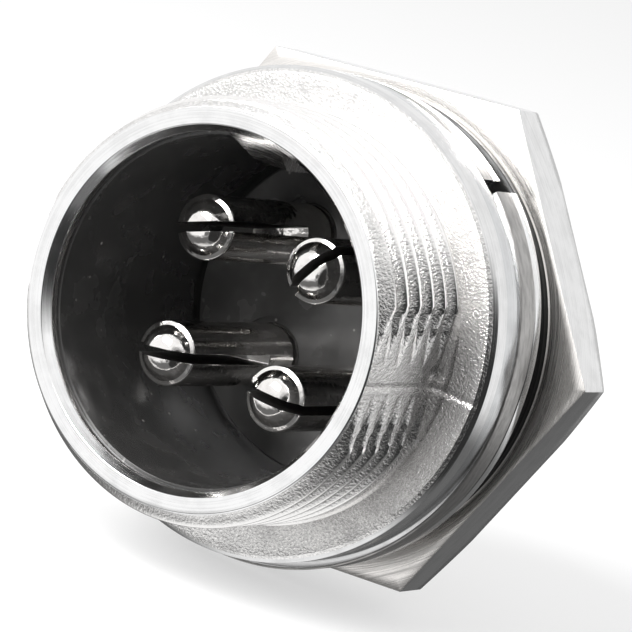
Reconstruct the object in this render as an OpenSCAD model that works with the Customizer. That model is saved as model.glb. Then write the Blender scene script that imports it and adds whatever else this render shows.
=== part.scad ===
// Panel-mount circular connector, M16 x 1, male, four contacts.
// A flanged, threaded shell holds a black insulator with four split contacts. It passes through
// a panel from the front and is clamped behind it by a split spring washer and a hexagon nut.
//
// Frame: Y = 0 is the flange's rear face, which seats on the panel. The mouth faces -Y, the
// solder cups face +Y, and +Z runs up through the key. All lengths are in millimetres.
// Both threads are 1 mm pitch and are drawn as rings of that pitch, without their helix.

/* [Shell] */
// Major diameter of the front and rear threads
thread_d = 15.9; // [15.6:0.05:16.2]
// Radial width of the flange outside the thread
flange_width = 1.5; // [1.2:0.05:3]
// Thickness of the flange
flange_t = 1.9; // [1.4:0.1:3]
// Chamfer on the flange's front edge
flange_edge = 0.28; // [0.1:0.02:0.5]
// Length of the barrel in front of the flange
front_length = 5.4; // [4.5:0.1:8]
// Length of the barrel behind the retaining ring's groove
rear_tail = 0.44; // [0.3:0.02:3]
// Radial thickness of the barrel from the bore to the thread's crests
barrel_wall = 0.95; // [0.9:0.01:1.4]
// Chamfer that starts each thread
thread_lead = 0.55; // [0.3:0.05:0.8]
// Distance from crest to crest of both threads
thread_pitch = 1; // [0.75:0.05:1.5]
// Depth of the thread
thread_depth = 0.51; // [0.4:0.01:0.62]
// Width of the thread's flat crest
crest_w = 0.15; // [0.1:0.01:0.25]
// Distance from the front face to the middle of the first groove
front_groove = 1; // [0.9:0.05:1.5]
// Distance from the flange to the middle of the first groove behind it
rear_groove = 0.95; // [0.6:0.05:1.5]
// Depth of the two flats of the front thread below its crests
flat_depth = 0.53; // [0.3:0.01:0.6]

/* [Mouth and key] */
// How far the turned cone's outer edge stands inside the bore
mouth_step = 0.17; // [0:0.01:0.3]
// Radius that the turned cone loses for each millimetre of depth
mouth_slope = 0.55; // [0.3:0.05:0.8]
// How far the lip that hides the sleeve's front edge stands inside the bore
lip_height = 0.4; // [0.3:0.02:0.48]
// Depth of the lip behind the front face
lip_depth = 0.78; // [0.6:0.02:1.2]
// Height of the key above the bore
key_height = 1.28; // [0.9:0.02:1.5]
// Width of the key at its inner face
key_tip_w = 1.46; // [1:0.02:2]
// Width of the key where it leaves the bore
key_root_w = 3.1; // [2.4:0.1:3.6]
// Depth from the front face to the key's rear end
key_depth = 5.6; // [4:0.1:8]

/* [Insulators] */
// Depth of the cup's floor behind the front face
cup_depth = 10.8; // [10:0.1:12]
// Thickness of the thin sleeve that lines the cup
sleeve_wall = 0.5; // [0.45:0.01:0.7]
// Width of the fine groove between the sleeve and the floor
floor_groove = 0.09; // [0.05:0.01:0.2]
// Depth of the step that the sleeve's rear end sits in
sleeve_seat = 0.25; // [0.15:0.05:0.5]
// Thickness of the moulded block that carries the contacts
block_t = 3.4; // [3:0.1:4]
// Thickness of the disc behind the block
disc_t = 0.8; // [0.6:0.05:1.2]
// Diameter of the shallow recess round each contact
recess_d = 3; // [2.7:0.1:3.6]
// Depth of that recess
recess_depth = 0.2; // [0.1:0.05:0.4]

/* [Contacts] */
// Diameter of a contact
contact_d = 2.5; // [2.2:0.05:2.6]
// Diameter of the circle that the contacts stand on
contact_circle_d = 7.08; // [6.8:0.02:7.4]
// Distance from the front face back to the tips
tip_recess = 2.45; // [1.5:0.05:4]
// Height of the domed tip
dome_h = 0.68; // [0.4:0.02:1]
// Bevel between the dome and the shaft
tip_bevel = 0.12; // [0.05:0.01:0.2]
// Width of the slot that splits a contact
slot_w = 0.38; // [0.25:0.01:0.5]
// Length of the slot from the tip
slot_length = 6.3; // [4:0.1:7.5]
// Angle of each slot, counter-clockwise from +X, seen from the front
slot_angles = [20, 56, 8, -2];
// Diameter of the collar that locks a contact in the block
collar_d = 3.4; // [3:0.05:3.8]
// Distance from the cup's floor to the collar
collar_cover = 1.1; // [0.8:0.1:1.6]
// Diameter of the solder cup
cup_d = 2.4; // [2.1:0.05:2.5]
// Diameter of the hole in the solder cup
cup_bore_d = 1.6; // [1.2:0.05:1.7]
// Depth of that hole
cup_bore_depth = 3.6; // [3:0.1:4.2]
// Length of the solder cup behind the block
cup_length = 5.4; // [4.8:0.1:7]
// Length over which the cup's mouth is cut open
scoop_length = 1.7; // [1:0.1:2]

/* [Retaining ring] */
// Wire width of the ring, from the groove inwards
ring_width = 0.85; // [0.6:0.05:1]
// Thickness of the ring
ring_t = 0.5; // [0.4:0.02:0.6]
// Depth of its groove in the bore
groove_depth = 0.2; // [0.1:0.02:0.25]
// Arc that the ring spans
ring_arc = 300; // [260:5:330]

/* [Spring washer] */
// How far the washer reaches past the flange's rim
washer_over = 0.15; // [0:0.05:0.5]
// Radial gap between the washer and the thread
washer_play = 0.35; // [0.3:0.05:0.5]
// Thickness of the washer
washer_t = 1.8; // [1.2:0.1:2.2]
// Angle of the slit's lower end, counter-clockwise from +X, seen from the front
slit_start = 49.5; // [30:0.5:70]
// Width of the slit, as an angle
slit_angle = 3; // [2:0.5:12]
// Tilt of the sprung end away from the flange
spring_tilt = 6.6; // [3:0.1:8]
// How far the loose washer hangs below the axis
washer_sag = 0.25; // [0:0.01:0.3]
// How far the loose washer hangs to the left of the axis
washer_aside = 0.12; // [0:0.01:0.15]

/* [Hexagon nut] */
// Thickness of the nut from the thread's crests to its flats
nut_wall = 1.65; // [1.3:0.05:3]
// Thickness of the hexagon
nut_t = 2.35; // [1.8:0.05:3.5]
// Width of the hexagon's flats outside its round bearing face
bearing_step = 0.45; // [0.2:0.05:1]
// Height of that bearing face
bearing_h = 0.45; // [0.2:0.05:0.8]
// How far the rear face reaches past the flats before the corners are chamfered
corner_reach = 0.4; // [0:0.01:1.2]
// Slope of the chamfer on the rear corners
nut_chamfer_angle = 30; // [20:1:35]
// Chamfer at both ends of the nut's bore
nut_lead = 0.35; // [0.2:0.05:0.5]
// Turn of the nut about the axis, counter-clockwise seen from the front
nut_turn = 4.5; // [0:0.5:60]

/* [Fits] */
// Radial play of the nut on the thread
thread_play = 0.04; // [0.02:0.01:0.08]
// Gap between pieces that are fixed to each other
seat_gap = 0.02; // [0.01:0.01:0.04]
// Gap between the flange and the loose washer
washer_gap = 0.03; // [0.02:0.01:0.1]
// Gap between the washer's sprung end and the nut
nut_gap = 0.18; // [0.1:0.02:0.6]

/* [Hidden] */

$fn = 96;

nickel = "#d6d3ce";
black = "#161617";
silver = "#e2e0dc";

// A cut runs this far past the face it opens.
past = 0.5;

thread_r = thread_d / 2;
bore_r = thread_r - barrel_wall;
mouth_r = bore_r - mouth_step;
lip_r = bore_r - lip_height;
sleeve_r = bore_r - sleeve_wall;
key_r = bore_r - key_height;
flange_r = thread_r + flange_width;
nut_flat_r = thread_r + nut_wall;
washer_inner_r = thread_r + washer_play;
washer_outer_r = flange_r + washer_over;

mouth_y = -(flange_t + front_length);
flange_front_y = -flange_t;
lip_end_y = mouth_y + lip_depth;
floor_y = mouth_y + cup_depth;
block_end_y = floor_y + block_t;
disc_y = block_end_y + seat_gap;
groove_y = disc_y + disc_t;
rear_y = groove_y + ring_t + 2 * seat_gap + rear_tail;
insulator_r = bore_r - seat_gap;
tip_y = mouth_y + tip_recess;
dome_base_r = contact_d / 2 - tip_bevel;
collar_y = floor_y + collar_cover;
washer_y = washer_gap;

// The sprung end leans back from a radial line, and its tip stands this far behind the rest.
spring_lift = washer_outer_r * sin(slit_start) * tan(spring_tilt);
nut_y = washer_y + washer_t + spring_lift + nut_gap;

// Contacts stand at 45 degrees: upper left, upper right, lower left and lower right.
contact_offset = contact_circle_d / 2 * cos(45);
contact_sides = [[-1, 1], [1, 1], [-1, -1], [1, -1]];

// Turns the local Z axis onto +Y. Local +X stays, and local -Y becomes up.
module along_y(y = 0) {
    translate([0, y, 0]) rotate([-90, 0, 0]) children();
}

// A solid of revolution about the connector's axis, from [radius, y] points.
module turned(points) {
    along_y() rotate_extrude() polygon(points);
}

// A rod or bore along +Y.
module rod(r, y, length) {
    along_y(y) cylinder(r = r, h = length);
}

// Puts a contact's own axis at its place in the block.
module at_contact(i) {
    translate([contact_sides[i][0] * contact_offset, 0, contact_sides[i][1] * contact_offset])
        children();
}

// A ring groove of the thread, centred at y: a 60 degree V with a flat root.
module thread_groove(y) {
    slope = tan(30);
    top_half = (thread_pitch - crest_w) / 2;
    root_half = top_half - thread_depth * slope;
    over = past / 5;
    turned([
        [thread_r - thread_depth, y - root_half],
        [thread_r + over, y - top_half - over * slope],
        [thread_r + over, y + top_half + over * slope],
        [thread_r - thread_depth, y + root_half],
    ]);
}

// The barrel with the grooves of both threads.
module threaded_barrel() {
    difference() {
        turned([
            [0, mouth_y],
            [thread_r - thread_lead, mouth_y],
            [thread_r, mouth_y + thread_lead],
            [thread_r, rear_y - thread_lead],
            [thread_r - thread_lead, rear_y],
            [0, rear_y],
        ]);
        for (y = [mouth_y + front_groove : thread_pitch : flange_front_y]) thread_groove(y);
        for (y = [rear_groove : thread_pitch : rear_y - thread_lead]) thread_groove(y);
    }
}

// The outside of the shell: the threaded barrel and its flange.
module shell_outside() {
    threaded_barrel();
    turned([
        [0, flange_front_y],
        [flange_r - flange_edge, flange_front_y],
        [flange_r, flange_front_y + flange_edge],
        [flange_r, 0],
        [0, 0],
    ]);
}

// The bore behind the lip, with the retaining ring's groove, and the lip itself.
module shell_bore() {
    rod(lip_r, mouth_y - past, lip_depth + 2 * past);
    rod(bore_r, lip_end_y, rear_y - lip_end_y + past);
    rod(bore_r + groove_depth, groove_y, ring_t + 2 * seat_gap);
}

// The turned cone of the mouth, which also cuts the ramp on the key.
module mouth_cone() {
    turned([
        [0, mouth_y - past],
        [mouth_r + mouth_slope * past, mouth_y - past],
        [0, mouth_y + mouth_r / mouth_slope],
    ]);
}

// The key's outline, grown by a gap where it is the slot that the key runs in.
module key_outline(gap = 0) {
    root = key_root_w / 2 + gap;
    tip = key_tip_w / 2 + gap;
    polygon([
        [-root, -bore_r - groove_depth],
        [-root, -bore_r],
        [-tip, gap - key_r],
        [tip, gap - key_r],
        [root, -bore_r],
        [root, -bore_r - groove_depth],
    ]);
}

// The two flats along the front thread, one on each side.
module front_flats() {
    for (side = [-1, 1])
        translate([side * (thread_d - flat_depth), (mouth_y + flange_front_y) / 2, 0])
            cube([thread_d, front_length, thread_d], center = true);
}

module shell() {
    color(nickel) difference() {
        union() {
            difference() {
                shell_outside();
                shell_bore();
                front_flats();
            }
            along_y(mouth_y) linear_extrude(key_depth) key_outline();
        }
        mouth_cone();
    }
}

// A thin black tube that lines the cup and is notched for the key.
module insulator_sleeve() {
    sleeve_y = lip_end_y + seat_gap;
    sleeve_end_y = floor_y + sleeve_seat - seat_gap;
    color(black) difference() {
        rod(insulator_r, sleeve_y, sleeve_end_y - sleeve_y);
        rod(sleeve_r, sleeve_y - past, sleeve_end_y - sleeve_y + 2 * past);
        along_y(sleeve_y - past)
            linear_extrude(mouth_y + key_depth + seat_gap - sleeve_y + past) key_outline(seat_gap);
    }
}

// The moulded block that forms the cup's floor and locks the contacts by their collars.
module contact_block() {
    boss_r = sleeve_r - floor_groove;
    color(black) difference() {
        turned([
            [0, floor_y],
            [boss_r, floor_y],
            [boss_r, floor_y + sleeve_seat],
            [insulator_r, floor_y + sleeve_seat],
            [insulator_r, block_end_y],
            [0, block_end_y],
        ]);
        for (i = [0:3]) at_contact(i) {
            rod(recess_d / 2, floor_y - past, recess_depth + past);
            rod(contact_d / 2 + seat_gap, floor_y - past, block_t + 2 * past);
            rod(collar_d / 2 + seat_gap, collar_y - seat_gap, block_t);
        }
    }
}

// A flat disc that closes the block from behind.
module rear_disc() {
    color(black) difference() {
        rod(insulator_r, disc_y, disc_t);
        for (i = [0:3]) at_contact(i) rod(cup_d / 2 + seat_gap, disc_y - past, disc_t + 2 * past);
    }
}

// A split ring in the bore's groove, open at the bottom.
module retaining_ring() {
    outer = bore_r + groove_depth - seat_gap;
    color(nickel) along_y(groove_y + seat_gap)
        rotate([0, 0, 90 + (360 - ring_arc) / 2]) rotate_extrude(angle = ring_arc)
            translate([outer - ring_width, 0]) square([ring_width, ring_t]);
}

// The pin's domed tip, with its crown at the tip plane, reaching into the turned body.
module contact_dome() {
    dome_sphere_r = (pow(dome_base_r, 2) + pow(dome_h, 2)) / (2 * dome_h);
    intersection() {
        rod(dome_base_r, tip_y, dome_h + tip_bevel);
        translate([0, tip_y + dome_sphere_r, 0]) sphere(dome_sphere_r);
    }
}

// The turned body behind the dome: bevel, shaft, collar and solder cup.
module contact_body() {
    bevel_y = tip_y + dome_h;
    turned([
        [0, bevel_y],
        [dome_base_r, bevel_y],
        [contact_d / 2, bevel_y + tip_bevel],
        [contact_d / 2, collar_y],
        [collar_d / 2, collar_y],
        [collar_d / 2, block_end_y],
        [cup_d / 2, block_end_y],
        [cup_d / 2, block_end_y + cup_length],
        [0, block_end_y + cup_length],
    ]);
}

// One contact about its own axis: split pin, collar and solder cup.
module contact(slot_angle) {
    cup_end_y = block_end_y + cup_length;
    scoop_y = cup_end_y - scoop_length;
    color(silver) difference() {
        union() {
            contact_dome();
            contact_body();
        }
        along_y(tip_y - past) rotate([0, 0, -slot_angle])
            translate([-contact_d, -slot_w / 2, 0]) cube([2 * contact_d, slot_w, slot_length + past]);
        rod(cup_bore_d / 2, cup_end_y - cup_bore_depth, cup_bore_depth + past);
        translate([-cup_d, scoop_y, 0]) cube([2 * cup_d, scoop_length + past, cup_d]);
    }
}

module contact_1() { at_contact(0) contact(slot_angles[0]); }
module contact_2() { at_contact(1) contact(slot_angles[1]); }
module contact_3() { at_contact(2) contact(slot_angles[2]); }
module contact_4() { at_contact(3) contact(slot_angles[3]); }

// A sector of a round tube, from one angle to another, counter-clockwise from +X.
module tube_sector(from, to, y, length) {
    along_y(y) rotate([0, 0, -to]) rotate_extrude(angle = to - from)
        translate([washer_inner_r, 0]) square([washer_outer_r - washer_inner_r, length]);
}

// A slab as thick as the washer that stands upright below z = 0 and leans back above it.
module leaning_slab() {
    reach = 2 * washer_outer_r;
    rise = reach * tan(spring_tilt);
    rotate([90, 0, 90]) linear_extrude(reach) polygon([
        [0, -reach],
        [washer_t, -reach],
        [washer_t, 0],
        [washer_t + rise, reach],
        [rise, reach],
        [0, 0],
    ]);
}

// A flat split ring whose lower end springs away from the flange.
module lock_washer() {
    overlap = 20;
    color(silver) translate([-washer_aside, washer_y, -washer_sag]) {
        tube_sector(slit_start + slit_angle, 360, 0, washer_t);
        intersection() {
            tube_sector(-overlap, slit_start, 0, washer_t + 2 * spring_lift);
            leaning_slab();
        }
    }
}

// The nut's solid before it is bored: hexagon, corner chamfer and bearing face.
module nut_blank() {
    corner_r = nut_flat_r / cos(30);
    hex_y = bearing_h;
    end_y = bearing_h + nut_t;
    face_r = nut_flat_r + corner_reach;
    chamfer_h = (corner_r + past - face_r) * tan(nut_chamfer_angle);
    intersection() {
        along_y(hex_y) cylinder(r = corner_r, h = nut_t, $fn = 6);
        turned([
            [0, hex_y - past],
            [corner_r + past, hex_y - past],
            [corner_r + past, end_y - chamfer_h],
            [face_r, end_y],
            [0, end_y],
        ]);
    }
    rod(nut_flat_r - bearing_step, 0, hex_y + nut_t / 2);
}

module hex_nut() {
    bore = thread_r + thread_play;
    total = bearing_h + nut_t;
    color(nickel) translate([0, nut_y, 0]) rotate([0, -nut_turn, 0]) difference() {
        nut_blank();
        rod(bore, -past, total + 2 * past);
        along_y(-seat_gap) cylinder(r1 = bore + nut_lead + seat_gap, r2 = bore, h = nut_lead + seat_gap);
        along_y(total - nut_lead)
            cylinder(r1 = bore, r2 = bore + nut_lead + seat_gap, h = nut_lead + seat_gap);
    }
}

shell();
insulator_sleeve();
contact_block();
rear_disc();
retaining_ring();
contact_1();
contact_2();
contact_3();
contact_4();
lock_washer();
hex_nut();
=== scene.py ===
"""Panel-mount circular connector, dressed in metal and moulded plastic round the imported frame.

Meshes are laid out in millimetres in the frame's own axes and scaled to metres when they are
made: -Y out of the mouth, +Z up through the key, +X to the right.
"""

import math

import bmesh
import bpy
import numpy as np
from mathutils import Matrix, Vector


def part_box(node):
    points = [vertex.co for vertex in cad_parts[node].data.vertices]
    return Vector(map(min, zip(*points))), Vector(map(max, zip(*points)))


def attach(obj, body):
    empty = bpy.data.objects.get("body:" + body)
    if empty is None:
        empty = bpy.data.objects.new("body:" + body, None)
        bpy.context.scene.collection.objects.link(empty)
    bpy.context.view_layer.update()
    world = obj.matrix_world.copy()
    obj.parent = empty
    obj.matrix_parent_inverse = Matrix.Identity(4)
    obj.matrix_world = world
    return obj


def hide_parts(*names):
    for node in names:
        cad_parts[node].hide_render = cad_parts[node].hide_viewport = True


MM = 0.001
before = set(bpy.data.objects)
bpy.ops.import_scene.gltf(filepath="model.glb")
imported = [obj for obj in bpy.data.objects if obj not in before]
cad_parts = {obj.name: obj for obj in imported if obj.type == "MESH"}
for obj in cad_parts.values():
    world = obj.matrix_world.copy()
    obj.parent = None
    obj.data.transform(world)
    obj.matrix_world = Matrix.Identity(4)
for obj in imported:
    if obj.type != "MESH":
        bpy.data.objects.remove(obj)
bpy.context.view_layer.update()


# ---------------------------------------------------------------- camera

def place_camera():
    """A long lens, low on the right of the mouth, rolled so that the key leans right."""
    azimuth, elevation, roll = 28.063, 8.359, 17.559
    distance, target = 134.081, Vector((0, 2.95, 0))
    aside, above = 0.9358, -0.4255
    azimuth, elevation, roll = (math.radians(a) for a in (azimuth, elevation, roll))
    back = Vector((math.sin(azimuth) * math.cos(elevation),
                   -math.cos(azimuth) * math.cos(elevation), math.sin(elevation)))
    level = Vector((0, 0, 1)).cross(back).normalized()
    upright = back.cross(level)
    right = level * math.cos(roll) + upright * math.sin(roll)
    up = upright * math.cos(roll) - level * math.sin(roll)
    lens = bpy.data.cameras.new("camera")
    lens.sensor_width, lens.lens = 36, 195.47
    lens.shift_x, lens.shift_y = 0.01173, -0.01790
    lens.clip_start, lens.clip_end = 0.01, 10
    camera = bpy.data.objects.new("camera", lens)
    bpy.context.scene.collection.objects.link(camera)
    place = target - right * aside - up * above + back * distance
    camera.matrix_world = Matrix.Translation(place * MM) @ Matrix(
        (right, up, back)).transposed().to_4x4()
    bpy.context.scene.camera = camera


place_camera()


# ---------------------------------------------------------------- shader sums

class Wire:
    """An output socket. Each operator on it adds one Math node."""

    def __init__(self, paint, socket):
        self.paint, self.socket = paint, socket

    def math(self, operation, *values):
        return self.paint.node("ShaderNodeMath", {"operation": operation}, *values)

    def __add__(self, other):
        return self.math("ADD", self, other)

    def __sub__(self, other):
        return self.math("SUBTRACT", self, other)

    def __rsub__(self, other):
        return self.math("SUBTRACT", other, self)

    def __mul__(self, other):
        return self.math("MULTIPLY", self, other)

    def __truediv__(self, other):
        return self.math("DIVIDE", self, other)

    def __pow__(self, other):
        return self.math("POWER", self, other)

    def over(self, low, high, start=0.0, end=1.0):
        """Runs smoothly from start at low to end at high."""
        return self.paint.node("ShaderNodeMapRange", {"interpolation_type": "SMOOTHSTEP"},
                               self, low, high, start, end)


class Paint:
    """A node tree and the nodes that are added to it."""

    def __init__(self, owner):
        owner.use_nodes = True
        self.tree = owner.node_tree
        self.tree.nodes.clear()

    def feed(self, socket, value):
        if isinstance(value, Wire):
            self.tree.links.new(value.socket, socket)
        elif value is not None:
            socket.default_value = value

    def node(self, kind, settings, *values, out=0, **named):
        """Adds a node: its settings first, then its inputs in order or by name."""
        made = self.tree.nodes.new(kind)
        for key, value in settings.items():
            setattr(made, key, value)
        for socket, value in zip(made.inputs, values):
            self.feed(socket, value)
        for key, value in named.items():
            self.feed(made.inputs[key.replace("_", " ")], value)
        return Wire(self, made.outputs[out]) if made.outputs else None

    def place(self):
        """The point on the piece, in millimetres."""
        spot = self.node("ShaderNodeTexCoord", {}, out=3)
        return self.node("ShaderNodeVectorMath", {"operation": "SCALE"}, spot, Scale=1 / MM)

    def parts(self, vector):
        split = self.node("ShaderNodeSeparateXYZ", {}, vector)
        outputs = split.socket.node.outputs
        return [Wire(self, outputs[i]) for i in range(3)]

    def vector(self, x, y, z):
        return self.node("ShaderNodeCombineXYZ", {}, x, y, z)

    def noise(self, vector, scale, detail=2.0, rough=0.5):
        return self.node("ShaderNodeTexNoise", {"noise_dimensions": "3D"},
                         Vector=vector, Scale=scale, Detail=detail, Roughness=rough)

    def blend(self, share, first, second):
        """A colour that runs from first to second as share runs from 0 to 1."""
        inputs_of_other_types = [None] * 5
        return self.node("ShaderNodeMix", {"data_type": "RGBA"}, share, *inputs_of_other_types,
                         first, second, out=2)

    def light_path(self, kind):
        """1 on rays of one kind, 0 on the others."""
        outputs = {"camera": 0, "diffuse": 2, "glossy": 3}
        return self.node("ShaderNodeLightPath", {}, out=outputs[kind])

    def towards(self, way, direction):
        """How closely a ray's way follows a direction: 1 along it, 0 square to it."""
        return self.node("ShaderNodeVectorMath", {"operation": "DOT_PRODUCT"}, way, direction,
                         out=1)

    def bump(self, height, strength, depth):
        """A normal from a height in units of depth millimetres."""
        return self.node("ShaderNodeBump", {}, Strength=strength, Distance=depth * MM,
                         Height=height)


class Finish(Paint):
    """A material with one principled shader, whose inputs are set by name."""

    def __init__(self, name, **constants):
        self.material = bpy.data.materials.new(name)
        super().__init__(self.material)
        self.shader = self.node("ShaderNodeBsdfPrincipled", {})
        self.node("ShaderNodeOutputMaterial", {}, self.shader)
        self.set(**constants)

    def set(self, **inputs):
        for key, value in inputs.items():
            self.feed(self.shader.socket.node.inputs[key.replace("_", " ")], value)


def grey(value, warm=0.0):
    return (value * (1 + warm), value, value * (1 - warm), 1)


def ring_place(paint, along, radial, axial):
    """A point whose noise stretches into rings round the axis: short across, long around."""
    x, y, z = paint.parts(paint.place())
    radius = (x * x + z * z) ** 0.5
    return paint.vector(x / radius * along, z / radius * along, radius * radial + y * axial)


# ---------------------------------------------------------------- finishes

def turned_nickel(name, tone, streak, roughness=0.16, warm=0.012):
    """Bright plate over a lathe-turned face: fine rings, some of them dull."""
    paint = Finish(name, Metallic=1.0)
    fine = paint.noise(ring_place(paint, 1.2, 26, 26), 1.0, 3.0, 0.6)
    broad = paint.noise(ring_place(paint, 2.0, 5, 5), 1.0, 2.0)
    lines = (fine * 0.7 + broad * 0.5).over(0.45, 0.8)
    paint.set(Base_Color=paint.blend(lines, grey(tone, warm), grey(tone * streak, warm)),
              Roughness=lines * 0.16 + roughness,
              Normal=paint.bump(fine, 0.25, 0.02))
    return paint.material


def cast_nickel(name, tone, grain, crest):
    """Bright plate over a sandy skin that sparkles, worn smooth where it reaches the crest."""
    warm = 0.012
    paint = Finish(name, Metallic=1.0)
    spot = paint.place()
    x, _, z = paint.parts(spot)
    worn = ((x * x + z * z) ** 0.5).over(crest - 0.25, crest)
    sand = paint.noise(spot, 10.0, 3.0, 0.6)
    patch = paint.noise(spot, 0.9, 2.0)
    dull = (sand * 0.75 + patch * 0.4).over(0.42, 0.75) * (1 - worn)
    paint.set(Base_Color=paint.blend(dull, grey(tone, warm), grey(tone * 0.75, warm)),
              Roughness=dull * 0.12 + 0.12,
              Normal=paint.bump((sand - 0.5) * (1 - worn * 0.9), grain, 0.10))
    return paint.material


def polished_nickel(name, tone, roughness=0.12, cold=0.0):
    """Smooth bright plate with light handling marks."""
    paint = Finish(name, Metallic=1.0)
    spot = paint.place()
    haze = paint.noise(spot, 1.3, 3.0)
    rings = paint.noise(ring_place(paint, 0.8, 18, 18), 1.0, 2.0)
    wear = (haze * 0.5 + rings * 0.5).over(0.4, 0.65)
    paint.set(Base_Color=paint.blend(wear, grey(tone, -cold), grey(tone * 0.88, -cold)),
              Roughness=wear * 0.1 + roughness,
              Normal=paint.bump(rings, 0.12, 0.02))
    return paint.material


def rough_steel(name, tone):
    """The torn half of a sheared edge: dull and lightly grained."""
    paint = Finish(name, Metallic=1.0)
    grain = paint.noise(ring_place(paint, 14, 6, 6), 1.0, 3.0, 0.6)
    mark = grain.over(0.35, 0.7)
    paint.set(Base_Color=paint.blend(mark, grey(tone, 0.02), grey(tone * 0.75, 0.02)),
              Roughness=mark * 0.15 + 0.32,
              Normal=paint.bump(grain, 0.5, 0.05))
    return paint.material


def black_moulding(name, tone):
    """Glossy black plastic with a few pale specks, paler on upward faces: settled dust and painted
    light from above.
    """
    paint = Finish(name, IOR=1.5)
    spot = paint.place()
    haze = paint.noise(spot, 0.7, 3.0).over(0.4, 0.7)
    specks = paint.node("ShaderNodeTexVoronoi", {"feature": "F1"}, Vector=spot, Scale=0.9)
    dust = specks.over(0.03, 0.07, 1.0, 0.0)
    grain = paint.noise(spot, 9.0, 2.0)
    # Upward faces turn paler: part settled dust, part painted light from above.
    upward = paint.parts(paint.node("ShaderNodeNewGeometry", {}, out=1))[2]
    settled_dust_and_top_light = upward.over(0.2, 0.9) * (haze * 0.6 + 0.4)
    black = paint.blend(haze, grey(tone, 0.02), grey(tone * 1.3, 0.02))
    dusty_and_top_lit = paint.blend(settled_dust_and_top_light, black, grey(tone * 1.7, 0.02))
    paint.set(Base_Color=paint.blend(dust, dusty_and_top_lit, (0.22, 0.21, 0.20, 1)),
              Roughness=haze * 0.1 + 0.2,
              Normal=paint.bump(grain, 0.05, 0.03))
    return paint.material


def silver_plate(name, tone, roughness):
    """Silver plate over turned brass, with a faint haze and ripples that blur what it mirrors."""
    paint = Finish(name, Metallic=1.0)
    spot = paint.place()
    haze = paint.noise(spot, 2.2, 3.0).over(0.4, 0.7)
    ripple = paint.noise(spot, 3.0, 2.0)
    paint.set(Base_Color=paint.blend(haze, grey(tone, 0.02), grey(tone * 0.86, 0.03)),
              Roughness=haze * 0.06 + roughness,
              Normal=paint.bump(ripple, 0.25, 0.06))
    return paint.material


TURNED = turned_nickel("nickel_turned", 0.9, 0.5)
FRONT = polished_nickel("nickel_front", 0.96, 0.08)
CAST = cast_nickel("nickel_cast", 0.92, 0.35, 9.6)
THREAD = cast_nickel("nickel_thread", 0.94, 0.4, 7.95)
POLISHED = polished_nickel("nickel_polished", 0.80)
RIM = polished_nickel("nickel_rim", 0.66, 0.14, 0.012)
SHEARED = rough_steel("steel_sheared", 0.42)
SMOOTH_STEEL = polished_nickel("steel_smooth", 0.92)
NUT_FACE = turned_nickel("nut_turned", 0.9, 0.7, 0.2, 0.03)
NUT_SIDE = polished_nickel("nut_side", 0.78, 0.16)
BLACK = black_moulding("black_moulding", 0.024)
# Paler copy of the black moulding for the cup's floor: painted light where the lamp reaches into
# the cup.
FLOOR_PAINTED_LIGHT = black_moulding("black_floor_painted_light", 0.055)
SILVER = silver_plate("silver_plate", 0.93, 0.06)
# Darker silver for the contacts' slot walls: painted shade inside the narrow slots.
SLOT_PAINTED_SHADE = silver_plate("silver_slot_painted_shade", 0.30, 0.30)
# Near-black finish for the nut's bearing face and its rim: painted shade in the gap between washer
# and nut.
NECK_PAINTED_SHADE = polished_nickel("nut_neck_painted_shade", 0.05, 0.35)
SPRING = polished_nickel("spring_steel", 0.45, 0.2)


# ---------------------------------------------------------------- mesh tools

def solid(name, points, faces, finishes, zones=None, body="connector", slot=None, crease=40):
    """Makes a closed piece in metres, glues doubled points and drops the empty faces."""
    mesh = bpy.data.meshes.new(name)
    points = np.asarray(points, float)
    keys = np.round(points / 1e-5).astype(np.int64)
    _, first, index = np.unique(keys, axis=0, return_index=True, return_inverse=True)
    index = index.reshape(-1)
    kept, kept_zones = [], []
    for number, face in enumerate(faces):
        loop = [int(index[i]) for i in face]
        loop = [v for k, v in enumerate(loop) if v != loop[k - 1]]
        if len(set(loop)) > 2:
            kept.append(loop)
            kept_zones.append(zones[number] if zones is not None else 0)
    mesh.from_pydata((points[first] * MM).tolist(), [], kept)
    for finish in finishes:
        mesh.materials.append(finish)
    mesh.polygons.foreach_set("material_index", kept_zones)
    mesh.validate()
    face_outwards(mesh)
    mesh.shade_smooth()
    mesh.set_sharp_from_angle(angle=math.radians(crease))
    piece = bpy.data.objects.new(name, mesh)
    bpy.context.scene.collection.objects.link(piece)
    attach(piece, body)
    return piece


def face_outwards(mesh):
    """Turns every face of a closed mesh to look outwards."""
    work = bmesh.new()
    work.from_mesh(mesh)
    bmesh.ops.recalc_face_normals(work, faces=work.faces)
    work.to_mesh(mesh)
    work.free()


def rounded(corners, closed=True):
    """Points of an outline whose corners, each (a, b, radius), are turned to small arcs."""
    steps = 3
    made = []
    count = len(corners)
    for i, (a, b, radius) in enumerate(corners):
        corner = np.array((a, b), float)
        if not radius or (not closed and i in (0, count - 1)):
            made.append(corner)
            continue
        before = np.array(corners[i - 1][:2], float) - corner
        after = np.array(corners[(i + 1) % count][:2], float) - corner
        long_a, long_b = np.linalg.norm(before), np.linalg.norm(after)
        before, after = before / long_a, after / long_b
        half = math.acos(np.clip(before @ after, -1, 1)) / 2
        cut = min(radius / math.tan(half), 0.49 * long_a, 0.49 * long_b)
        middle = corner + (before + after) / np.linalg.norm(before + after) * cut / math.cos(half)
        arms = corner + before * cut - middle, corner + after * cut - middle
        sweep = math.pi - 2 * half
        for step in range(steps + 1):
            t = step / steps
            made.append(middle + (arms[0] * math.sin((1 - t) * sweep)
                                  + arms[1] * math.sin(t * sweep)) / math.sin(sweep))
    return np.array(made)


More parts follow.
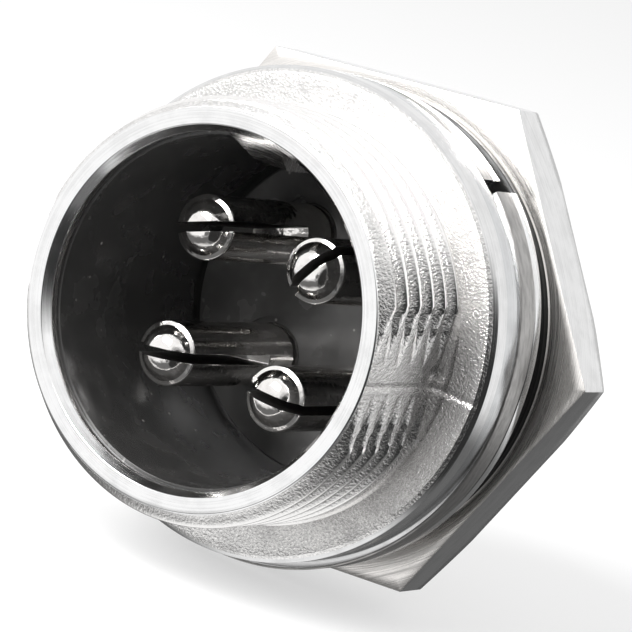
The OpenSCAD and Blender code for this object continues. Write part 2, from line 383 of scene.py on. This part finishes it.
def sheet_faces(rows, columns, close_rows, close_columns):
    """Quads of a grid of points, with its first and last rows or columns joined or not."""
    faces = []
    for i in range(rows if close_rows else rows - 1):
        for j in range(columns if close_columns else columns - 1):
            i2, j2 = (i + 1) % rows, (j + 1) % columns
            faces.append((i * columns + j, i * columns + j2, i2 * columns + j2, i2 * columns + j))
    return faces


def around(radii, heights, angles, centre=(0, 0)):
    """Points of a grid: a row for each radius and height, a column for each angle."""
    radii, heights = np.broadcast_arrays(radii, heights)
    x = radii * np.cos(angles) + centre[0]
    z = radii * np.sin(angles) + centre[1]
    return np.stack([x, heights * np.ones_like(x), z], axis=-1)


def revolve(name, outline, finishes, segments, centre=(0, 0), **how):
    """A closed outline of (radius, y) points turned about a line along Y."""
    outline = np.asarray(outline)
    angles = np.linspace(0, 2 * math.pi, segments, endpoint=False)
    grid = around(outline[:, :1], outline[:, 1:], angles, centre)
    faces = sheet_faces(len(outline), segments, True, True)
    return solid(name, grid.reshape(-1, 3), faces, finishes, **how)


def cut(piece, *cutters):
    """Takes the cutters out of the piece and applies the result."""
    for cutter in cutters:
        step = piece.modifiers.new("cut", "BOOLEAN")
        step.operation, step.solver, step.object = "DIFFERENCE", "EXACT", cutter
    apply_steps(piece)
    for cutter in cutters:
        bpy.data.objects.remove(cutter)


def bevel(piece, width, angle=30):
    """Breaks the sharp edges of the piece and applies the result."""
    step = piece.modifiers.new("edges", "BEVEL")
    step.width, step.segments = width * MM, 2
    step.limit_method, step.angle_limit = "ANGLE", math.radians(angle)
    step.miter_outer = "MITER_ARC"
    apply_steps(piece)


def apply_steps(piece):
    """Bakes the modifiers of a piece into its mesh."""
    bpy.context.view_layer.update()
    graph = bpy.context.evaluated_depsgraph_get()
    mesh = bpy.data.meshes.new_from_object(piece.evaluated_get(graph))
    piece.modifiers.clear()
    piece.data = mesh


def smooth(piece, crease=35):
    """Shades the piece smoothly except at edges sharper than crease, in degrees."""
    piece.data.shade_smooth()
    piece.data.set_sharp_from_angle(angle=math.radians(crease))


def block(name, centre, size, spin=0.0):
    """A plain box as a cutter, turned about Y by spin, in degrees."""
    half = np.array(size) / 2
    corners = np.array([(x, y, z) for x in (-1, 1) for y in (-1, 1) for z in (-1, 1)]) * half
    a = math.radians(spin)
    x = corners[:, 0] * math.cos(a) - corners[:, 2] * math.sin(a)
    z = corners[:, 0] * math.sin(a) + corners[:, 2] * math.cos(a)
    points = np.stack([x, corners[:, 1], z], axis=1) + np.array(centre)
    faces = [(0, 1, 3, 2), (4, 6, 7, 5), (0, 4, 5, 1), (2, 3, 7, 6), (0, 2, 6, 4), (1, 5, 7, 3)]
    mesh = bpy.data.meshes.new(name)
    mesh.from_pydata((points * MM).tolist(), [], faces)
    face_outwards(mesh)
    piece = bpy.data.objects.new(name, mesh)
    bpy.context.scene.collection.objects.link(piece)
    return piece


# ---------------------------------------------------------------- threads

THREAD_R, PITCH, THREAD_DEPTH, THREAD_LEAD = 7.95, 1.0, 0.51, 0.55
FRONT_PHASE, REAR_PHASE = -6.80, 0.45

# Distance from a crest's middle and depth below it, both for one half of a thread.
FINE_THREAD = [(0, 0), (0.055, 0.0), (0.095, 0.035), (0.23, 0.27), (0.345, 0.475),
               (0.385, THREAD_DEPTH), (0.5, THREAD_DEPTH)]
PLAIN_THREAD = [(0, 0), (0.07, 0.0), (0.37, THREAD_DEPTH), (0.5, THREAD_DEPTH)]


def thread_rows(form, phase, start, end, angles):
    """Places along Y of the rows of a right-hand thread, turn after turn."""
    half = [away for away, _ in form[1:-1]]
    turn = [-away for away in reversed(half)] + [form[0][0]] + half + [form[-1][0]]
    advance = angles / (2 * math.pi) * PITCH
    first = math.floor((start - phase) / PITCH)
    last = math.ceil((end - phase) / PITCH) + 1
    return [phase + number * PITCH + offset - advance
            for number in range(first, last + 1) for offset in turn]


def thread_depth(form, phase, y, angles):
    """Depth of the thread at any place on it."""
    turns = (y - phase) / PITCH + angles / (2 * math.pi)
    away = np.abs((turns + 0.5) % 1 - 0.5) * PITCH
    return np.interp(away, [d for d, _ in form], [h for _, h in form])


def threaded(form, phase, start, end, angles, grow=0.0):
    """Radius and Y rows of a threaded cylinder, clipped to start and end."""
    rows = [np.clip(y, start, end) for y in thread_rows(form, phase, start, end, angles)]
    return [(THREAD_R + grow - thread_depth(form, phase, y, angles), y) for y in rows]


def shell_angles():
    """Fine steps across the two flats, wider ones elsewhere."""
    steps = [(-27, 27, 0.6), (27, 153, 1.8), (153, 207, 0.6), (207, 333, 1.8)]
    angles = np.concatenate([np.arange(a, b - 1e-6, s) for a, b, s in steps])
    return np.radians(np.append(angles, angles[0] + 360))


# ---------------------------------------------------------------- shell

MOUTH_Y, FLANGE_Y, REAR_Y = -7.3, -1.9, 8.7
FLANGE_R, BORE_R, LIP_R, LIP_Y = 9.45, 7.0, 6.6, -6.52
MOUTH_R, MOUTH_SLOPE = 6.83, 0.55
GROOVE_R, GROOVE_START, GROOVE_END = 7.2, 7.72, 8.26
FLAT_X, SEAM = 7.42, math.radians(-2)


def make_shell():
    """Front thread with its flats, flange, rear thread and bore, in one closed skin."""
    angles = shell_angles()
    lead = THREAD_R - THREAD_LEAD
    rows, zones = [], []

    def add(found, zone):
        for radius, y in found:
            rows.append((radius + 0 * angles, y + 0 * angles))
            zones.append(zone)

    def path(corners, zone):
        add(rounded(corners, closed=False), zone)

    turned, cast, thread, rim, polished, front_face = range(6)
    front = threaded(FINE_THREAD, FRONT_PHASE, MOUTH_Y + 0.06, FLANGE_Y, angles)
    front = [(np.minimum(r, lead + (y - MOUTH_Y)), y) for r, y in front]
    add(front, thread)
    path([(8.02, FLANGE_Y, 0), (8.4, FLANGE_Y, 0), (8.8, FLANGE_Y, 0),
          (9.17, FLANGE_Y, 0.03), (9.3, -1.77, 0)], cast)
    path([(9.3, -1.77, 0), (FLANGE_R, -1.62, 0.05), (FLANGE_R, -0.9, 0)], polished)
    path([(FLANGE_R, -0.9, 0), (FLANGE_R, 0, 0.08), (8.9, 0, 0)], rim)
    path([(8.9, 0, 0), (8.02, 0, 0)], turned)
    rear = threaded(PLAIN_THREAD, REAR_PHASE, 0, REAR_Y - 0.03, angles)
    rear = [(np.minimum(r, lead + (REAR_Y - y)), y) for r, y in rear]
    add(rear, thread)
    path([(7.36, REAR_Y, 0), (7.15, REAR_Y, 0.04), (BORE_R, REAR_Y - 0.15, 0),
          (BORE_R, GROOVE_END, 0), (GROOVE_R, GROOVE_END, 0),
          (GROOVE_R, GROOVE_START, 0), (BORE_R, GROOVE_START, 0),
          (BORE_R, LIP_Y, 0), (LIP_R, LIP_Y, 0.03), (LIP_R, -6.9, 0.03),
          (MOUTH_R - 0.2, MOUTH_Y + 0.2 / MOUTH_SLOPE, 0)], turned)
    path([(MOUTH_R - 0.2, MOUTH_Y + 0.2 / MOUTH_SLOPE, 0), (MOUTH_R, MOUTH_Y, 0.05),
          (7.2, MOUTH_Y, 0)], front_face)
    path([(7.2, MOUTH_Y, 0), (7.41, MOUTH_Y, 0.05), (7.45, MOUTH_Y + 0.06, 0)], front_face)

    radii = np.array([r for r, _ in rows])
    heights = np.array([y for _, y in rows])
    grid = around(radii, heights, angles)
    flat = heights < FLANGE_Y + 1e-6
    inside = np.abs(grid[..., 0]) > FLAT_X
    outer = np.arange(len(rows))[:, None] < len(front)
    seam = 0.035 * np.exp(-((angles - SEAM) / math.radians(0.55)) ** 2)
    pit = 0.16 * np.exp(-((heights + 2.2) / 0.22) ** 2 - ((grid[..., 2] - 0.25) / 0.3) ** 2)
    shaved = np.sign(grid[..., 0]) * (FLAT_X - seam - pit)
    grid[..., 0] = np.where(flat & inside & outer, shaved, grid[..., 0])
    face = np.array(zones)[:, None] == cast
    grid[..., 1] += np.where(face, 1.3 * seam, 0)
    columns = len(angles)
    faces = sheet_faces(len(rows), columns, True, False)
    marks = np.repeat(zones, columns - 1).tolist()
    piece = solid("shell_body", grid.reshape(-1, 3), faces,
                  [TURNED, CAST, THREAD, RIM, POLISHED, FRONT], marks, slot="shell_nickel",
                  crease=50)
    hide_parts("shell")


def make_key():
    """The key on the bore's top, with the turned cone's ramp cut across its front."""
    root, tip, top, low, depth = 1.55, 0.73, 7.12, 5.72, 5.6
    outline = [(-root, top), (-root, BORE_R), (-tip, low), (tip, low), (root, BORE_R), (root, top)]
    points = [(x, y, z) for y in (MOUTH_Y + 0.02, MOUTH_Y + depth) for x, z in outline]
    faces = sheet_faces(2, 6, False, True) + [tuple(range(6)), tuple(range(11, 5, -1))]
    key = solid("key", points, faces, [TURNED], slot="shell_nickel")
    cone = revolve("cone", [(0, MOUTH_Y - 0.5), (MOUTH_R + 0.275, MOUTH_Y - 0.5),
                            (0, MOUTH_Y + MOUTH_R / MOUTH_SLOPE)], [TURNED], segments=256)
    cut(key, cone)
    bevel(key, 0.05)
    smooth(key)


# ---------------------------------------------------------------- insulators

SLEEVE_R, FLOOR_Y, BLOCK_END, INSULATOR_R = 6.5, 3.5, 6.9, 6.98
CONTACT_AT = 7.08 / 2 * math.cos(math.radians(45))
CONTACT_SIDES = [(-1, 1), (1, 1), (-1, -1), (1, -1)]
CONTACT_R, TIP_Y, DOME_R, DOME_H = 1.25, -4.85, 1.07, 0.6
SLOT_ANGLES = [20, 56, 8, -2]


def pin_places():
    """Where the contacts' axes stand, as (x, z)."""
    return [(sx * CONTACT_AT, sz * CONTACT_AT) for sx, sz in CONTACT_SIDES]


def rod(name, radius, start, end, centre):
    """A plain closed rod along Y, used to cut holes."""
    outline = [(0, start), (radius, start), (radius, end), (0, end)]
    return revolve(name, outline, [BLACK], segments=64, centre=centre)


def make_sleeve():
    """The thin tube that lines the cup, notched for the key."""
    outline = rounded([(SLEEVE_R, -6.5, 0.04), (INSULATOR_R, -6.5, 0.04),
                       (INSULATOR_R, 3.73, 0.02), (SLEEVE_R, 3.73, 0.02)])
    sleeve = revolve("sleeve", outline, [BLACK], segments=192, slot="insert_black")
    cut(sleeve, block("notch", (0, -4.6, 6.6), (2.2, 5.85, 1.8)))
    smooth(sleeve)
    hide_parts("insulator_sleeve")


def make_block():
    """The cup's floor with a shallow recess round each contact."""
    boss = SLEEVE_R - 0.09
    outline = rounded([(0, FLOOR_Y, 0), (boss, FLOOR_Y, 0.06), (boss, 3.75, 0),
                       (INSULATOR_R, 3.75, 0.04), (INSULATOR_R, BLOCK_END, 0.06),
                       (0, BLOCK_END, 0)])
    # The floor takes the paler black: painted light on the cup floor.
    piece = revolve("block", outline, [FLOOR_PAINTED_LIGHT], segments=192, slot="insert_black")
    cut(piece, *[rod("recess", 1.5, FLOOR_Y - 1, FLOOR_Y + 0.2, at) for at in pin_places()])
    cut(piece, *[rod("hole", 1.27, FLOOR_Y - 1, 4.58, at) for at in pin_places()])
    cut(piece, *[rod("hole", 1.72, 4.58, BLOCK_END + 1, at) for at in pin_places()])
    smooth(piece)
    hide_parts("contact_block")


def make_disc():
    """The insulating disc behind the block, with a hole for each contact."""
    outline = rounded([(0, 6.92, 0), (INSULATOR_R, 6.92, 0.05), (INSULATOR_R, 7.72, 0.08),
                       (0, 7.72, 0)])
    piece = revolve("disc", outline, [BLACK], segments=160, slot="insert_black")
    cut(piece, *[rod("hole", 1.22, 6, 9, at) for at in pin_places()])
    bevel(piece, 0.05, 60)
    smooth(piece)
    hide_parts("rear_disc")


def make_ring():
    """A split wire ring in the bore's groove, open at the bottom."""
    section = rounded([(6.33, 7.74, 0.1), (7.18, 7.74, 0.1), (7.18, 8.24, 0.1), (6.33, 8.24, 0.1)])
    angles = np.radians(np.linspace(-60, 240, 121))
    grid = around(section[:, :1], section[:, 1:], angles)
    rows, columns = len(section), len(angles)
    faces = sheet_faces(rows, columns, True, False)
    faces.append(tuple(i * columns for i in range(rows)))
    faces.append(tuple(i * columns + columns - 1 for i in reversed(range(rows))))
    ring = solid("ring", grid.reshape(-1, 3), faces, [SPRING], slot="ring_steel")
    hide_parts("retaining_ring")


def make_contact(number, centre, slot_angle):
    """One silver-plated contact: domed split pin, collar and solder cup."""
    dome = [(DOME_R * share, TIP_Y + DOME_H * share ** 3.4) for share in np.linspace(0, 1, 25)]
    body = rounded([(DOME_R, TIP_Y + DOME_H, 0), (CONTACT_R, TIP_Y + DOME_H + 0.05, 0.08),
                    (CONTACT_R, 4.6, 0), (1.7, 4.6, 0.04), (1.7, BLOCK_END, 0.04),
                    (1.2, BLOCK_END, 0), (1.2, 12.3, 0.06), (0.8, 12.3, 0.06), (0.8, 8.7, 0),
                    (0, 8.3, 0)], closed=False)
    outline = dome + [tuple(p) for p in body[1:]]
    piece = revolve(f"pin_{number}", outline, [SILVER, SLOT_PAINTED_SHADE], segments=96, centre=centre,
                    slot="contact_silver")
    x, z = centre
    cut(piece, block("slot", (x, TIP_Y + 2.9, z), (3.2, 6.8, 0.38), slot_angle),
        block("scoop", (x, 12.0, z + 1.2), (3.2, 2.8, 2.4)))
    bevel(piece, 0.025, 35)
    smooth(piece, 40)
    # Faces on the slot walls take the darker silver: painted shade inside the slots.
    for face in piece.data.polygons:
        spot = face.center / MM
        inward = math.hypot(spot.x - x, spot.z - z) < CONTACT_R - 0.04
        if inward and abs(face.normal.y) < 0.2 and spot.y < FLOOR_Y:
            face.material_index = 1
    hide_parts(f"contact_{number}")


# ---------------------------------------------------------------- washer and nut

WASHER_SHIFT, WASHER_SAG, SLIT_START, SLIT_END = 0.12, 0.25, 49.5, 52.5
SPRING_SLOPE = math.tan(math.radians(6.6))
NUT_Y, NUT_TURN, CORNER_SLOPE = 2.857, math.radians(4.5), math.tan(math.radians(30))
BEARING_R, NECK_R, NUT_BORE_R = 9.2, 9.15, 8.32


def make_washer():
    """A split spring washer whose lower end stands off the flange."""
    inner, outer, thick, seat_gap = 8.3, 9.6, 1.8, 0.03
    groove = outer - 0.06
    section = rounded([(inner, 0, 0.06), (outer, 0, 0.10), (outer, 1.10, 0), (groove, 1.13, 0),
                       (groove, 1.17, 0), (outer, 1.20, 0), (outer, thick, 0.16),
                       (inner, thick, 0.06)])
    torn, clean, ends = range(3)
    zones = [torn if radius > 9.3 and y < 1.12 else clean for radius, y in section]
    angles = np.radians(np.concatenate([np.arange(SLIT_END, 360, 1.5),
                                        np.arange(360, 360 + SLIT_START, 1.0),
                                        [360 + SLIT_START]]))
    grid = around(section[:, :1], section[:, 1:] + seat_gap, angles)
    height, ease = grid[..., 2], 0.35
    eased = 0.5 * (height + np.sqrt(height ** 2 + ease ** 2)) * (height > -2)
    rise = np.where(angles > math.pi * 1.7, np.maximum(height, eased), 0.0)
    grid[..., 1] += rise * SPRING_SLOPE
    grid[..., 0] -= WASHER_SHIFT
    grid[..., 2] -= WASHER_SAG
    rows, columns = len(section), len(angles)
    faces = sheet_faces(rows, columns, True, False)
    marks = np.repeat(zones, columns - 1).tolist() + [ends, ends]
    faces.append(tuple(i * columns for i in range(rows)))
    faces.append(tuple(i * columns + columns - 1 for i in reversed(range(rows))))
    washer = solid("split_washer", grid.reshape(-1, 3), faces, [SHEARED, SMOOTH_STEEL, RIM],
                   marks, body="washer", slot="washer_steel")
    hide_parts("lock_washer")


def make_nut():
    """Hexagon nut with a round bearing face, chamfered rear corners and a threaded bore."""
    apothem, thick, face_h, reach_out = 9.6, 2.35, 0.45, 0.4
    end = thick + face_h
    corner = apothem / math.cos(math.radians(30))
    sixths = [k * math.pi / 3 for k in range(6)]
    hexagon = rounded([(corner * math.cos(a), corner * math.sin(a), 0.12) for a in sixths])
    points = []
    for i, start in enumerate(hexagon):
        stop = hexagon[(i + 1) % len(hexagon)]
        parts = 28 if np.linalg.norm(stop - start) > 1 else 1
        points += [start + (stop - start) * k / parts for k in range(parts)]
    points = np.array(points)
    angles = np.arctan2(points[:, 1], points[:, 0])
    order = np.argsort(angles)
    angles, reach = angles[order] + NUT_TURN, np.hypot(*points.T)[order]
    angles, reach = np.append(angles, angles[0] + 2 * math.pi), np.append(reach, reach[0])
    meet = end - np.maximum(reach - apothem - reach_out, 0) * CORNER_SLOPE
    rows, zones = [], []

    def add(radius, y, zone):
        rows.append((radius + 0 * angles, y + 0 * angles))
        zones.append(zone)

    # The bearing face and its rim take the near-black finish: painted shade between washer and
    # nut.
    face, side, thread, shaded_neck = range(4)
    for r, y in ((8.34, 0), (8.6, 0), (8.9, 0), (9.09, 0)):
        add(r, y, shaded_neck)
    for r, y in ((NECK_R, 0.05), (NECK_R, face_h - 0.08)):
        add(r, y, shaded_neck)
    for r, y in ((9.155, face_h - 0.07), (BEARING_R, face_h)):
        add(r, y, face)
    for share in (0.35, 0.7):
        add(BEARING_R + (reach - 0.07 - BEARING_R) * share, face_h, face)
    add(reach - 0.07, face_h, face)
    add(reach - 0.02, face_h + 0.02, side)
    add(reach, face_h + 0.07, side)
    for share in (0.33, 0.66):
        add(reach, face_h + 0.07 + (meet - 0.05 - face_h - 0.07) * share, side)
    add(reach, meet - 0.05, side)
    face_reach = np.minimum(reach, apothem + reach_out)
    near_end = np.minimum(meet + 0.03, end - 0.02)
    for share in (0, 0.5, 1):
        y = near_end + (end - 0.02 - near_end) * share
        add(np.minimum(reach - 0.015, apothem + reach_out + (end - y) / CORNER_SLOPE), y, side)
    add(face_reach - 0.06, end, face)
    add(9.45, end, face)
    for r in (9.2, 8.8, 8.45, NUT_BORE_R):
        add(r, end, face)
    bore = threaded(PLAIN_THREAD, REAR_PHASE - NUT_Y, 0.02, end - 0.02, angles, 0.045)
    for r, y in reversed(bore):
        y_in = np.minimum(y, end - y)
        add(np.maximum(r, NUT_BORE_R - np.maximum(y_in, 0)), y, thread)
    radii = np.array([r for r, _ in rows])
    heights = np.array([y for _, y in rows]) + NUT_Y
    grid = around(radii, heights, angles)
    columns = len(angles)
    faces = sheet_faces(len(rows), columns, True, False)
    marks = np.repeat(zones, columns - 1).tolist()
    nut = solid("panel_nut", grid.reshape(-1, 3), faces, [NUT_FACE, NUT_SIDE, THREAD, NECK_PAINTED_SHADE], marks,
                body="nut", slot="nut_nickel")
    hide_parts("hex_nut")


make_shell()
make_key()
make_sleeve()
make_block()
make_disc()
make_ring()
for index, (centre, slot_angle) in enumerate(zip(pin_places(), SLOT_ANGLES)):
    make_contact(index + 1, centre, slot_angle)
make_washer()
make_nut()


# ---------------------------------------------------------------- stage

def plane(name, size, place, finish):
    """A level square sheet of the stage."""
    half = size / 2
    mesh = bpy.data.meshes.new(name)
    mesh.from_pydata([(-half, -half, 0), (half, -half, 0), (half, half, 0), (-half, half, 0)],
                     [], [(0, 1, 2, 3)])
    mesh.materials.append(finish)
    sheet = bpy.data.objects.new(name, mesh)
    bpy.context.scene.collection.objects.link(sheet)
    sheet.location = place
    return sheet


def lamp(name, place, size, power):
    """A soft square lamp that faces the connector."""
    light = bpy.data.lights.new(name, "AREA")
    light.size, light.energy = size, power
    item = bpy.data.objects.new(name, light)
    bpy.context.scene.collection.objects.link(item)
    item.location = place
    item.rotation_euler = (-Vector(place)).to_track_quat("-Z", "Y").to_euler()


def make_floor():
    """A white floor that keeps a light shadow."""
    material = bpy.data.materials.new("floor_white")
    paint = Paint(material)
    seen = paint.light_path("camera")
    matt = paint.node("ShaderNodeBsdfDiffuse", {}, grey(0.92))
    glow = paint.node("ShaderNodeEmission", {}, grey(1.0), 1.0)
    paint.node("ShaderNodeOutputMaterial", {},
               paint.node("ShaderNodeMixShader", {}, seen * 0.55, matt, glow))
    low = min(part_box(n)[0].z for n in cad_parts)
    floor = plane("floor", 4.0, (0, 0, low - 0.0002), material)
    floor.visible_glossy = False


def make_studio():
    """White all round, where metal also sees a dim ground, a dim side wall and a dim stand."""
    world = bpy.data.worlds.new("studio")
    bpy.context.scene.world = world
    paint = Paint(world)
    way = paint.node("ShaderNodeTexCoord", {}, out=0)
    _, depth, height = paint.parts(way)
    level = height - depth * 0.07
    ground = level.over(-0.22, -0.40, 0.0, 0.85) * height.over(-0.95, -0.75)
    wall = paint.towards(way, (0.754, -0.624, -0.201)).over(0.62, 0.86, 0.0, 0.97)
    stand = paint.towards(way, (0.03, -0.974, -0.241)).over(0.985, 0.996, 0.0, 0.85)
    dark = ground.math("MAXIMUM", ground, wall)
    mirror = 1 - dark.math("MAXIMUM", dark, stand)
    glossy = paint.light_path("glossy")
    diffuse = paint.light_path("diffuse")
    strength = 1 - glossy * (1 - mirror) - diffuse * 0.2
    paint.node("ShaderNodeOutputWorld", {},
               paint.node("ShaderNodeBackground", {}, grey(1.0), strength))


make_floor()
make_studio()
lamp("key_light", (-0.10, -0.36, 0.25), 0.22, 3.0)
bpy.context.scene.view_settings.view_transform = "Standard"
